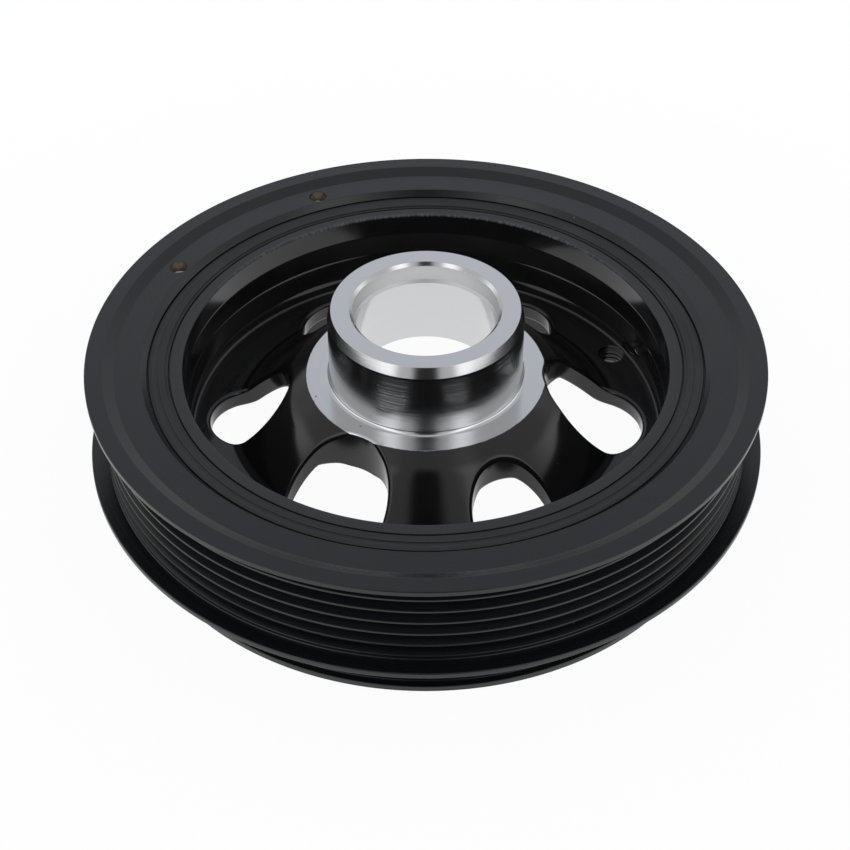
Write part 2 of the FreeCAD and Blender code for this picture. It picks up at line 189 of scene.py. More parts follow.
def ring_outline():
    """The belt ring's outline from the flat inner band, round the outside and the bore, back to it."""
    corners = [
        (BAND_END, BAND_HEIGHT, 0.0),
        (75.6, BAND_HEIGHT, 0.4),
        (78.3, 40.7, 0.5),
        (82.5, 40.7, 0.3),
        (82.5, 39.3, 0.25),
        (SEAT_RADIUS, 38.6, 0.3),
    ]
    floor_half = GROOVE_MOUTH / 2 - (SEAT_RADIUS - GROOVE_FLOOR) * math.tan(GROOVE_FLANK)
    for number in reversed(range(GROOVE_COUNT)):
        middle = FIRST_MOUTH + GROOVE_MOUTH / 2 + number * GROOVE_PITCH
        corners.append((SEAT_RADIUS, middle + GROOVE_MOUTH / 2, 0.22))
        corners.append((GROOVE_FLOOR, middle + floor_half, 0.2))
        corners.append((GROOVE_FLOOR, middle - floor_half, 0.2))
        corners.append((SEAT_RADIUS, middle - GROOVE_MOUTH / 2, 0.22))
    corners += [
        (SEAT_RADIUS, 15.79, 0.3),
        (RING_RADIUS, 15.99, 0.3),
        (RING_RADIUS, 14.49, 0.3),
        (73.0, 14.49, 1.0),
        (73.0, 1.7, 0.3),
        (74.75, 1.7, 0.3),
        (74.75, 0.0, 0.3),
        (68.8, 0.0, 0.1),
        (BOND_RADIUS, 1.0, 0.1),
        (BOND_RADIUS, 38.0, 0.1),
        (69.2, BAND_HEIGHT, 0.2),
        (BAND_START, BAND_HEIGHT, 0.0),
    ]
    return corners


# Building surfaces

def unit(dr, dz):
    """The direction of a step along an outline."""
    size = math.hypot(dr, dz)
    return dr / size, dz / size


def trace(corners, closed=False, turn_step=15.0):
    """Points along an outline as (radius, height, outward r, outward z), the solid on its right."""
    count = len(corners)
    points = []
    for number, (radius, height, rounding) in enumerate(corners):
        if not closed and number in (0, count - 1):
            other = corners[1] if number == 0 else corners[-2]
            sign = 1.0 if number == 0 else -1.0
            dr, dz = unit((other[0] - radius) * sign, (other[1] - height) * sign)
            points.append((radius, height, -dz, dr))
            continue
        before = corners[number - 1]
        after = corners[(number + 1) % count]
        in_r, in_z = unit(radius - before[0], height - before[1])
        out_r, out_z = unit(after[0] - radius, after[1] - height)
        bend = math.atan2(in_r * out_z - in_z * out_r, in_r * out_r + in_z * out_z)
        if rounding == 0.0:
            points.append((radius, height, -in_z, in_r))
            points.append((radius, height, -out_z, out_r))
            continue
        reach = rounding * math.tan(abs(bend) / 2)
        side = 1.0 if bend > 0 else -1.0
        start_r = radius - in_r * reach
        start_z = height - in_z * reach
        centre_r = start_r - in_z * rounding * side
        centre_z = start_z + in_r * rounding * side
        steps = max(2, math.ceil(abs(math.degrees(bend)) / turn_step))
        for step in range(steps + 1):
            turned = bend * step / steps
            normal_r = -in_z * math.cos(turned) - in_r * math.sin(turned)
            normal_z = in_r * math.cos(turned) - in_z * math.sin(turned)
            points.append((
                centre_r - normal_r * rounding * side,
                centre_z - normal_z * rounding * side,
                normal_r,
                normal_z,
            ))
    if closed:
        points.append(points[0])
    return points


class Skin:
    """Gathers the points, outward directions and faces of one piece, and joins points that meet."""

    def __init__(self):
        self.places = []
        self.outward = []
        self.faces = []
        self.known = {}

    def point(self, place, outward):
        """The number of a point, a new one unless the same place and direction are known."""
        key = tuple(round(value, 3) for value in place) + tuple(round(value, 1) for value in outward)
        if key not in self.known:
            self.known[key] = len(self.places)
            self.places.append(place)
            self.outward.append(outward)
        return self.known[key]

    def face(self, *corners):
        """Adds a face, turned to look the way its corners' directions point."""
        kept = []
        for corner in corners:
            if corner not in kept:
                kept.append(corner)
        if len(kept) < 3:
            return
        middle = Vector()
        for corner in kept:
            middle += Vector(self.outward[corner])
        first, second, third = (Vector(self.places[corner]) for corner in kept[:3])
        if (second - first).cross(third - first).dot(middle) < 0:
            kept.reverse()
        self.faces.append(kept)

    def turn(self, outline, segments, centre=(0.0, 0.0)):
        """Turns an outline round an upright axis through centre."""
        rows = []
        for radius, height, normal_r, normal_z in outline:
            row = []
            for number in range(segments):
                angle = 2 * math.pi * number / segments
                across, along = math.cos(angle), math.sin(angle)
                place = (centre[0] + radius * across, centre[1] + radius * along, height)
                row.append(self.point(place, (normal_r * across, normal_r * along, normal_z)))
            rows.append(row)
        for below, above, here, there in zip(outline, outline[1:], rows, rows[1:]):
            if math.dist(below[:2], above[:2]) < 1e-6:
                continue
            for number in range(segments):
                after = (number + 1) % segments
                self.face(here[number], here[after], there[after], there[number])

    def build(self, name, material):
        """Makes the Blender object of the piece, in metres."""
        mesh = bpy.data.meshes.new(name)
        mesh.from_pydata([tuple(value * MM for value in place) for place in self.places], [], self.faces)
        mesh.materials.append(material)
        mesh.shade_smooth()
        mesh.normals_split_custom_set_from_vertices([Vector(value).normalized() for value in self.outward])
        piece = bpy.data.objects.new(name, mesh)
        bpy.context.scene.collection.objects.link(piece)
        return piece


def opening_centre(opening):
    """Where an opening's axis stands in plan."""
    centre_radius, angle = opening[:2]
    return centre_radius * math.cos(math.radians(angle)), centre_radius * math.sin(math.radians(angle))


def opening_steps(opening):
    """The number of steps round an opening."""
    return max(32, int(2 * math.pi * opening[2] / OPENING_STEP))


def keenness(radius):
    """How much of its rounding an opening's edge keeps: the flat machined flange cuts it away."""
    return min(1.0, max(0.12, (radius - FLANGE_RADIUS) / 1.4))


def sheet(skin, outline, openings, segments, up=1.0):
    """A dished disc seen in plan, with rounded openings cut straight through it.
    outline runs outward; up is 1 for a front surface and -1 for a rear one."""
    radii = numpy.array([row[0] for row in outline])
    table = numpy.array(outline)
    inner, outer = radii[0], radii[-1]
    plan = []
    edges = []

    def ring(radius, steps, centre=(0.0, 0.0)):
        first = len(plan)
        for number in range(steps):
            angle = 2 * math.pi * number / steps
            plan.append((centre[0] + radius * math.cos(angle), centre[1] + radius * math.sin(angle)))
        edges.extend((first + number, first + (number + 1) % steps) for number in range(steps))

    centres = [opening_centre(opening) for opening in openings]
    ring(inner, segments)
    ring(outer, segments)
    for opening, centre in zip(openings, centres):
        rounding = opening[3]
        for step in range(EDGE_STEPS + 1):
            off = rounding * (1 - math.cos(math.radians(90 * step / EDGE_STEPS)))
            ring(opening[2] + off, opening_steps(opening), centre)
    for radius in radii[1:-1]:
        for number in range(segments):
            angle = 2 * math.pi * number / segments
            x, y = radius * math.cos(angle), radius * math.sin(angle)
            if all(
                math.hypot(x - centre[0], y - centre[1]) > opening[2] + opening[3] + OPENING_CLEARANCE
                for opening, centre in zip(openings, centres)
            ):
                plan.append((x, y))

    places, _, triangles, *_ = delaunay_2d_cdt([Vector(place) for place in plan], edges, [], 0,
                                                PLAN_TOLERANCE)

    ids = []
    for x, y in places:
        radius = math.hypot(x, y)
        height, normal_r, normal_z = (numpy.interp(radius, radii, table[:, column]) for column in (1, 2, 3))
        slope_x = -normal_r / normal_z * x / radius
        slope_y = -normal_r / normal_z * y / radius
        outward = Vector((-slope_x * up, -slope_y * up, up))
        for opening, centre in zip(openings, centres):
            off = math.hypot(x - centre[0], y - centre[1]) - opening[2]
            rounding = opening[3]
            if off >= rounding:
                continue
            rest = max(rounding - off, 0.0)
            fall = rounding - math.sqrt(max(rounding ** 2 - rest ** 2, 0.0))
            height -= fall * up * keenness(radius)
            lean = min(1.0, rest / rounding)
            inward = Vector((centre[0] - x, centre[1] - y, 0.0)).normalized()
            upright = math.sqrt(max(1 - lean ** 2, 0.0))
            outward = outward.normalized() * upright + inward * lean
        ids.append(skin.point((x, y, float(height)), tuple(outward.normalized())))

    reaches = [opening[2] * math.cos(math.pi / opening_steps(opening)) for opening in openings]
    for triangle in triangles:
        x = sum(places[corner][0] for corner in triangle) / 3
        y = sum(places[corner][1] for corner in triangle) / 3
        if not inner * CHORD_SLACK < math.hypot(x, y) < outer:
            continue
        if any(math.hypot(x - centre[0], y - centre[1]) < reach for reach, centre in zip(reaches, centres)):
            continue
        skin.face(*(ids[corner] for corner in triangle))


def wall(skin, opening, front, rear):
    """The upright wall of an opening, between a front and a rear outline."""
    centre = opening_centre(opening)
    steps = opening_steps(opening)
    rounding = opening[3]
    columns = []
    for number in range(steps):
        angle = 2 * math.pi * number / steps
        x = centre[0] + opening[2] * math.cos(angle)
        y = centre[1] + opening[2] * math.sin(angle)
        radius = math.hypot(x, y)
        fall = rounding * keenness(radius)
        top = numpy.interp(radius, [row[0] for row in front], [row[1] for row in front]) - fall
        low = numpy.interp(radius, [row[0] for row in rear], [row[1] for row in rear]) + fall
        inward = (-math.cos(angle), -math.sin(angle), 0.0)
        columns.append([
            skin.point((x, y, float(top + (low - top) * row / (WALL_ROWS - 1))), inward)
            for row in range(WALL_ROWS)
        ])
    for number in range(steps):
        here, there = columns[number], columns[(number + 1) % steps]
        for row in range(len(here) - 1):
            skin.face(here[row], there[row], there[row + 1], here[row + 1])


def thread(skin, centre, radius, crest, low, top, pitch, segments=40):
    """A helical ridge standing in from a tapped hole's wall, fading out at both ends."""
    turns = (top - low) / pitch
    steps = int(turns * segments)
    root = radius + 0.02
    rows = []
    for step in range(steps + 1):
        angle = 2 * math.pi * step / segments
        middle = low + pitch * step / segments
        fade = min(1.0, step / (segments * 0.4), (steps - step) / (segments * 0.4))
        inner = root - (root - crest) * fade
        profile = [
            (root, middle - pitch * 0.46, -0.86),
            (inner, middle - pitch * 0.07, -0.86),
            (inner, middle + pitch * 0.07, 0.86),
            (root, middle + pitch * 0.46, 0.86),
        ]
        across, along = math.cos(angle), math.sin(angle)
        row = []
        for point_radius, height, normal_z in profile:
            place = (centre[0] + point_radius * across, centre[1] + point_radius * along, height)
            row.append(skin.point(place, (-across * 0.5, -along * 0.5, normal_z)))
        rows.append(row)
    for here, there in zip(rows, rows[1:]):
        for number in range(3):
            skin.face(here[number], there[number], there[number + 1], here[number + 1])


# Shader building

class Wiring:
    """Adds nodes to one tree and joins them. A value given for an input is a number, colour or socket."""

    def __init__(self, tree):
        self.tree = tree

    def add(self, kind, values=None, **settings):
        node = self.tree.nodes.new(kind)
        for name, value in settings.items():
            setattr(node, name, value)
        return self.fill(node, values or {})

    def fill(self, node, values):
        """Joins the sockets among the values to a node's inputs, and sets the others."""
        for name, value in values.items():
            if isinstance(value, bpy.types.NodeSocket):
                self.tree.links.new(value, node.inputs[name])
            else:
                node.inputs[name].default_value = value
        return node

    def math(self, operation, first, second=0.0, third=0.0, clamp=False):
        values = {0: first, 1: second}
        if operation == "MULTIPLY_ADD":
            values[2] = third
        return self.add("ShaderNodeMath", values, operation=operation, use_clamp=clamp).outputs[0]

    def ramp(self, value, low, high, start=0.0, end=1.0):
        """A soft step from start at low to end at high."""
        values = {"Value": value, "From Min": low, "From Max": high, "To Min": start, "To Max": end}
        return self.add("ShaderNodeMapRange", values, interpolation_type="SMOOTHSTEP").outputs["Result"]

    def band(self, value, rise, fall):
        """1 between two soft steps: up across rise and down across fall, each (low, high)."""
        return self.math("MULTIPLY", self.ramp(value, *rise), self.ramp(value, *fall, 1.0, 0.0))

    def mix(self, mask, first, second):
        values = {"Factor": mask, "A": first, "B": second}
        return self.add("ShaderNodeMix", values, data_type="FLOAT").outputs["Result"]

    def colour(self, mask, first, second):
        """Mixes two colours; 6 and 7 are the node's colour inputs and 2 its colour output."""
        node = self.add("ShaderNodeMix", {"Factor": mask}, data_type="RGBA")
        return self.fill(node, {6: first, 7: second}).outputs[2]

    def group(self, tree, values=None):
        return self.add("ShaderNodeGroup", values, node_tree=tree)


def new_group(name, inputs, outputs):
    """An empty shader group; inputs are (name, default) and outputs are names, all numbers."""
    tree = bpy.data.node_groups.new(name, "ShaderNodeTree")
    for title, default in inputs:
        socket = tree.interface.new_socket(name=title, in_out="INPUT", socket_type="NodeSocketFloat")
        socket.default_value = default
    for title in outputs:
        tree.interface.new_socket(name=title, in_out="OUTPUT", socket_type="NodeSocketFloat")
    wires = Wiring(tree)
    return tree, wires, wires.add("NodeGroupInput"), wires.add("NodeGroupOutput")


def make_place_group():
    """Distance from the axis and height above the rear face, both in millimetres."""
    tree, wires, _, leave = new_group("Place on the pulley", [], ["Radius", "Height"])
    spot = wires.add("ShaderNodeTexCoord").outputs["Object"]
    parts = wires.add("ShaderNodeSeparateXYZ", {0: spot})
    across = wires.math("MULTIPLY", parts.outputs[0], parts.outputs[0])
    squares = wires.math("MULTIPLY_ADD", parts.outputs[1], parts.outputs[1], across)
    radius = wires.math("MULTIPLY", wires.math("SQRT", squares), 1000.0)
    tree.links.new(radius, leave.inputs["Radius"])
    tree.links.new(wires.math("MULTIPLY", parts.outputs[2], 1000.0), leave.inputs["Height"])
    return tree


def make_lathe_group(place_group):
    """Fine rings left by turning: they run round the axis and vary with radius and height."""
    inputs = [("Lines per mm", 4.0), ("Unevenness", 0.3)]
    tree, wires, enter, leave = new_group("Lathe marks", inputs, ["Height", "Tone"])
    place = wires.group(place_group)
    spot = wires.add("ShaderNodeTexCoord").outputs["Object"]
    drift = wires.add("ShaderNodeTexNoise", {"Vector": spot, "Scale": 90.0, "Detail": 1.0})
    shift = wires.math("MULTIPLY", drift.outputs[0], enter.outputs["Unevenness"])
    radius = wires.math("MULTIPLY_ADD", place.outputs["Radius"], enter.outputs["Lines per mm"], shift)
    height = wires.math("MULTIPLY", place.outputs["Height"], enter.outputs["Lines per mm"])
    rings = wires.add("ShaderNodeCombineXYZ", {0: radius, 1: height})
    fine = wires.add("ShaderNodeTexNoise", {"Vector": rings.outputs[0], "Scale": 1.0, "Detail": 3.0})
    wide = wires.add("ShaderNodeTexNoise", {"Vector": rings.outputs[0], "Scale": 0.12, "Detail": 2.0})
    tree.links.new(fine.outputs[0], leave.inputs["Height"])
    tree.links.new(wires.mix(0.55, fine.outputs[0], wide.outputs[0]), leave.inputs["Tone"])
    return tree


def make_speck_group():
    """Scattered small specks of dust or dirt, more in some places than others."""
    inputs = [("Spacing", 3.0), ("Size", 0.12), ("Amount", 0.3)]
    tree, wires, enter, leave = new_group("Specks", inputs, ["Mask"])
    spot = wires.add("ShaderNodeTexCoord").outputs["Object"]
    scale = wires.math("DIVIDE", 1000.0, enter.outputs["Spacing"])
    bent = wires.add("ShaderNodeTexNoise", {"Vector": spot, "Scale": 900.0, "Detail": 2.0})
    shift = (0.6 * MM, 0.6 * MM, 0.6 * MM)
    moved = wires.add("ShaderNodeVectorMath", {0: bent.outputs["Color"], 1: shift}, operation="MULTIPLY")
    near = wires.add("ShaderNodeVectorMath", {0: spot, 1: moved.outputs[0]}, operation="ADD")
    cells = wires.add("ShaderNodeTexVoronoi", {"Vector": near.outputs[0], "Scale": scale}, feature="F1")
    pick = wires.add("ShaderNodeSeparateXYZ", {0: cells.outputs["Color"]})
    crowd = wires.add("ShaderNodeTexNoise", {"Vector": spot, "Scale": 45.0, "Detail": 2.0})
    crowded = wires.ramp(crowd.outputs[0], 0.35, 0.7, 0.2, 1.8)
    chance = wires.math("MULTIPLY", enter.outputs["Amount"], crowded)
    chosen = wires.math("LESS_THAN", pick.outputs[0], chance)
    size = wires.math("MULTIPLY", enter.outputs["Size"], wires.ramp(pick.outputs[1], 0.0, 1.0, 0.4, 1.4))
    reach = wires.math("DIVIDE", size, enter.outputs["Spacing"])
    inside = wires.math("SUBTRACT", reach, cells.outputs["Distance"])
    soft = wires.math("DIVIDE", inside, wires.math("MULTIPLY", reach, 0.5), clamp=True)
    tree.links.new(wires.math("MULTIPLY", soft, chosen), leave.inputs["Mask"])
    return tree


def make_skin_group():
    """The slightly uneven skin of a cast and coated surface."""
    inputs = [("Grain per mm", 2.0)]
    tree, wires, enter, leave = new_group("Coated skin", inputs, ["Height", "Tone"])
    spot = wires.add("ShaderNodeTexCoord").outputs["Object"]
    scale = wires.math("MULTIPLY", enter.outputs["Grain per mm"], 1000.0)
    fine = wires.add("ShaderNodeTexNoise", {"Vector": spot, "Scale": scale, "Detail": 2.0})
    slow = wires.add("ShaderNodeTexNoise", {"Vector": spot, "Scale": 70.0, "Detail": 3.0})
    tree.links.new(wires.mix(0.35, fine.outputs[0], slow.outputs[0]), leave.inputs["Height"])
    tree.links.new(slow.outputs[0], leave.inputs["Tone"])
    return tree


def shared_groups():
    """The effects that several materials use, built once."""
    made = {}
    for name, make in (
        ("Place on the pulley", make_place_group),
        ("Specks", make_speck_group),
        ("Coated skin", make_skin_group),
    ):
        made[name] = bpy.data.node_groups.get(name) or make()
    made["Lathe marks"] = bpy.data.node_groups.get("Lathe marks") or make_lathe_group(
        made["Place on the pulley"])
    return made


def new_material(name):
    material = bpy.data.materials.new(name)
    material.use_nodes = True
    material.node_tree.nodes.clear()
    wires = Wiring(material.node_tree)
    shader = wires.add("ShaderNodeBsdfPrincipled")
    output = wires.add("ShaderNodeOutputMaterial")
    material.node_tree.links.new(shader.outputs[0], output.inputs["Surface"])
    return material, wires, shader


def toned(colour, factor):
    """A colour made darker or lighter."""
    return tuple(value * factor for value in colour[:3]) + (1.0,)


def chatter_marks_and_highlight(wires, radius, height):
    """Chatter cuts across the inner edge of the rim, in a lighter grey that is partly painted highlight; the
    painted highlight is made strongest at the back.
    """
    spot = wires.add("ShaderNodeTexCoord").outputs["Object"]
    parts = wires.add("ShaderNodeSeparateXYZ", {0: spot})
    turn = wires.math("ARCTAN2", parts.outputs[1], parts.outputs[0])
    along = wires.add("ShaderNodeCombineXYZ", {0: wires.math("MULTIPLY", turn, 150.0),
                                               1: wires.math("MULTIPLY", radius, 0.5)})
    cuts = wires.add("ShaderNodeTexNoise", {"Vector": along.outputs[0], "Scale": 1.0, "Detail": 1.0})
    slow = wires.add("ShaderNodeTexNoise", {"Vector": spot, "Scale": 60.0, "Detail": 1.0})
    reach = wires.math("MULTIPLY_ADD", slow.outputs[0], 1.0, RIM_INNER + 0.5)
    edge = wires.math("SUBTRACT", reach, radius)
    mask = wires.math("MULTIPLY", wires.ramp(cuts.outputs[0], 0.46, 0.62), wires.ramp(edge, -0.1, 0.25))
    mask = wires.math("MULTIPLY", mask, wires.ramp(height, RIM_TOP - 0.6, RIM_TOP - 0.35))
    # Painted highlight: the cuts are made lighter towards the back of the rim.
    mask = wires.math("MULTIPLY", mask, wires.ramp(parts.outputs[1], 0.02, 0.045, 0.1, 0.6))
    return wires.math("MULTIPLY", mask, wires.ramp(radius, RIM_INNER + 1.4, RIM_INNER + 1.6, 1.0, 0.0))


def hub_material(look):
    """Bare turned steel on the nose, flange and bore; glossy black coating on the rest."""
    groups = shared_groups()
    material, wires, shader = new_material("hub coating and turned steel")
    place = wires.group(groups["Place on the pulley"])
    radius, height = place.outputs["Radius"], place.outputs["Height"]
    ragged = wires.add("ShaderNodeTexNoise", {"Vector": wires.add("ShaderNodeTexCoord").outputs["Object"],
                                              "Scale": 800.0, "Detail": 2.0})
    edge = wires.math("MULTIPLY_ADD", ragged.outputs[0], 0.25, radius)
    in_bore = wires.math("MULTIPLY", wires.ramp(edge, 27.3, 27.45, 1.0, 0.0),
                         wires.ramp(height, BOSS_HEIGHT + 0.05, BOSS_HEIGHT + 0.15))
    on_flange = wires.math("MULTIPLY", wires.ramp(edge, FLANGE_RADIUS + 0.05, FLANGE_RADIUS + 0.2, 1.0, 0.0),
                           wires.ramp(height, FLANGE_HEIGHT - 0.2, FLANGE_HEIGHT - 0.1))
    bare = wires.math("MAXIMUM", in_bore, on_flange)
    on_rim = wires.math("MULTIPLY", wires.ramp(radius, RIM_INNER - 0.15, RIM_INNER + 0.1),
                        wires.ramp(height, RIM_TOP - 0.5, RIM_TOP - 0.15))

    marks = wires.group(groups["Lathe marks"], {"Lines per mm": 5.0, "Unevenness": 0.5})
    rim_marks = wires.group(groups["Lathe marks"], {"Lines per mm": 3.0, "Unevenness": 2.5})
    skin = wires.group(groups["Coated skin"], {"Grain per mm": 1.6})
    dirt = wires.group(groups["Specks"], {"Spacing": 2.2, "Size": 0.28, "Amount": 0.08})
    dust = wires.group(groups["Specks"], {"Spacing": 2.6, "Size": 0.09, "Amount": 0.16})

    steel = wires.colour(marks.outputs["Tone"], toned(look.steel_colour, 0.93), tuple(look.steel_colour))
    steel = wires.colour(wires.math("MULTIPLY", dirt.outputs["Mask"], 0.8), steel, (0.05, 0.04, 0.03, 1.0))
    coat = wires.colour(skin.outputs["Tone"], toned(look.coating_colour, 0.8), tuple(look.coating_colour))
    coat = wires.colour(on_rim, coat, tuple(look.rim_colour))
    # Chatter cuts at the rim's inner edge, painted in a lighter grey as a highlight that is strongest at the
    # back.
    coat = wires.colour(chatter_marks_and_highlight(wires, radius, height), coat, (0.12, 0.12, 0.12, 1.0))
    coat = wires.colour(wires.math("MULTIPLY", dust.outputs["Mask"], 0.35), coat, (0.45, 0.43, 0.4, 1.0))
    rough_coat = wires.ramp(skin.outputs["Tone"], 0.3, 0.7, look.coating_roughness * 0.85,
                            look.coating_roughness * 1.15)
    rough_coat = wires.mix(on_rim, rough_coat, 0.5)
    rough_steel = wires.ramp(marks.outputs["Tone"], 0.3, 0.7, look.steel_roughness * 0.85,
                             look.steel_roughness * 1.2)
    inside = wires.ramp(radius, COUNTERBORE_RADIUS + 0.1, COUNTERBORE_RADIUS + 0.2, 1.0, 0.0)
    floor_edge = (COUNTERBORE_FLOOR - 0.05, COUNTERBORE_FLOOR + 0.1)
    top_edge = (COUNTERBORE_TOP - 0.1, COUNTERBORE_TOP + 0.05)
    on_taper = wires.math("MULTIPLY", wires.band(height, (47.0, 47.15), floor_edge), inside)
    rough_steel = wires.mix(on_taper, rough_steel, 0.5)
    counterbored = wires.math("MULTIPLY", wires.band(height, floor_edge, top_edge), inside)
    rough_steel = wires.mix(counterbored, rough_steel, 0.36)
    on_side = wires.math("MULTIPLY", wires.ramp(radius, NOSE_RADIUS - 0.2, NOSE_RADIUS - 0.05),
                         wires.band(height, (33.8, 35.2), (49.0, 49.6)))
    rough_steel = wires.mix(on_side, rough_steel, 0.2)
    rim_tall = wires.math("MULTIPLY", rim_marks.outputs["Height"], 3.0)
    tall = wires.mix(on_rim, skin.outputs["Height"], rim_tall)
    turned = wires.math("MULTIPLY", marks.outputs["Height"], wires.mix(on_side, 0.9, 4.5))
    tall = wires.mix(bare, tall, turned)
    bump = wires.add("ShaderNodeBump", {"Height": tall, "Strength": 0.35, "Distance": 0.00002})
    wires.fill(shader, {
        "Base Color": wires.colour(bare, coat, steel),
        "Metallic": wires.math("MULTIPLY", bare, wires.math("SUBTRACT", 1.0, dirt.outputs["Mask"])),
        "Roughness": wires.mix(bare, rough_coat, rough_steel),
        "Normal": bump.outputs[0],
    })
    return material


def rubber_material(look):
    """Moulded black rubber with a dull bloom."""
    groups = shared_groups()
    material, wires, shader = new_material("damper rubber")
    skin = wires.group(groups["Coated skin"], {"Grain per mm": 3.0})
    rings = wires.group(groups["Lathe marks"], {"Lines per mm": 1.6, "Unevenness": 1.2})
    dust = wires.group(groups["Specks"], {"Spacing": 1.8, "Size": 0.12, "Amount": 0.2})
    bloom = wires.ramp(skin.outputs["Tone"], 0.35, 0.75)
    base = wires.colour(bloom, tuple(look.rubber_colour), toned(look.rubber_colour, 1.7))
    dark_rings = wires.ramp(rings.outputs["Tone"], 0.42, 0.6, 0.75, 0.0)
    base = wires.colour(dark_rings, base, (0.003, 0.003, 0.003, 1.0))
    base = wires.colour(wires.math("MULTIPLY", dust.outputs["Mask"], 0.4), base, (0.3, 0.28, 0.25, 1.0))
    tall = wires.mix(0.7, skin.outputs["Height"], wires.math("MULTIPLY", rings.outputs["Height"], 2.0))
    bump = wires.add("ShaderNodeBump", {"Height": tall, "Strength": 0.5, "Distance": 0.00005})
    wires.fill(shader, {
        "Base Color": base,
        "Roughness": wires.ramp(skin.outputs["Tone"], 0.3, 0.7, 0.42, 0.6),
        "Normal": bump.outputs[0],
    })
    return material


def ring_material(look):
    """Satin black coating over turned iron, bare in the balance drillings."""
    groups = shared_groups()
    material, wires, shader = new_material("ring coating")
    place = wires.group(groups["Place on the pulley"])
    radius, height = place.outputs["Radius"], place.outputs["Height"]
    marks = wires.group(groups["Lathe marks"], {"Lines per mm": 3.5, "Unevenness": 0.6})
    skin = wires.group(groups["Coated skin"], {"Grain per mm": 2.2})
    dust = wires.group(groups["Specks"], {"Spacing": 3.0, "Size": 0.11, "Amount": 0.2})
    spot = wires.add("ShaderNodeTexCoord").outputs["Object"]
    flat = wires.add("ShaderNodeVectorMath", {0: spot, 1: (1.0, 1.0, 0.0)}, operation="MULTIPLY").outputs[0]
    drilled = 0.0
    for opening in BALANCE_HOLES:
        x, y = opening_centre(opening)
        away = wires.add("ShaderNodeVectorMath", {0: flat, 1: (x * MM, y * MM, 0.0)}, operation="DISTANCE")
        low, high = (opening[2] + 0.06) * MM, (opening[2] + 0.14) * MM
        inside = wires.ramp(away.outputs["Value"], low, high, 1.0, 0.0)
        drilled = wires.math("MAXIMUM", drilled, inside)
    below_band = (BAND_HEIGHT - 0.15, BAND_HEIGHT - 0.07)
    drilled = wires.math("MULTIPLY", drilled, wires.band(height, (30.0, 31.0), below_band))
    base = wires.colour(skin.outputs["Tone"], toned(look.ring_colour, 0.8), toned(look.ring_colour, 1.15))
    base = wires.colour(wires.math("MULTIPLY", dust.outputs["Mask"], 0.5), base, (0.5, 0.48, 0.45, 1.0))
    base = wires.colour(drilled, base, tuple(look.drilled_colour))
    rough = wires.ramp(marks.outputs["Tone"], 0.3, 0.7, look.ring_roughness * 0.85,
                       look.ring_roughness * 1.15)
    tall = wires.mix(0.5, skin.outputs["Height"], marks.outputs["Height"])
    bump = wires.add("ShaderNodeBump", {"Height": tall, "Strength": 0.4, "Distance": 0.00003})
    wires.fill(shader, {
        "Base Color": base,
        "Metallic": wires.math("MULTIPLY", drilled, 0.9),
        "Roughness": wires.mix(drilled, rough, 0.26),
        "Normal": bump.outputs[0],
    })
    return material


def white_to_camera(wires, shade, share):
    """Mixes a shader with white light that camera, glossy and transmission rays see."""
    path = wires.add("ShaderNodeLightPath")
    seen = wires.math("MAXIMUM", path.outputs["Is Camera Ray"], path.outputs["Is Glossy Ray"])
    seen = wires.math("MAXIMUM", seen, path.outputs["Is Transmission Ray"])
    white = wires.add("ShaderNodeEmission", {"Color": WHITE, "Strength": 1.0})
    values = {0: wires.math("MULTIPLY", seen, share), 1: shade, 2: white.outputs[0]}
    return wires.add("ShaderNodeMixShader", values).outputs[0]


def floor_material():
    """Pale matt floor that keeps a faint shadow under the pulley and turns white further out."""
    material = bpy.data.materials.new("studio floor")
    material.use_nodes = True
    material.node_tree.nodes.clear()
    wires = Wiring(material.node_tree)
    matt = wires.add("ShaderNodeBsdfDiffuse", {"Color": (0.85, 0.85, 0.85, 1.0)})
    spot = wires.add("ShaderNodeTexCoord").outputs["Object"]
    away = wires.add("ShaderNodeVectorMath", {0: spot}, operation="LENGTH").outputs["Value"]
    share = wires.ramp(away, 0.06, FLOOR_RADIUS * 0.9, 0.96, 1.0)
    output = wires.add("ShaderNodeOutputMaterial")
    material.node_tree.links.new(white_to_camera(wires, matt.outputs[0], share), output.inputs["Surface"])
    return material


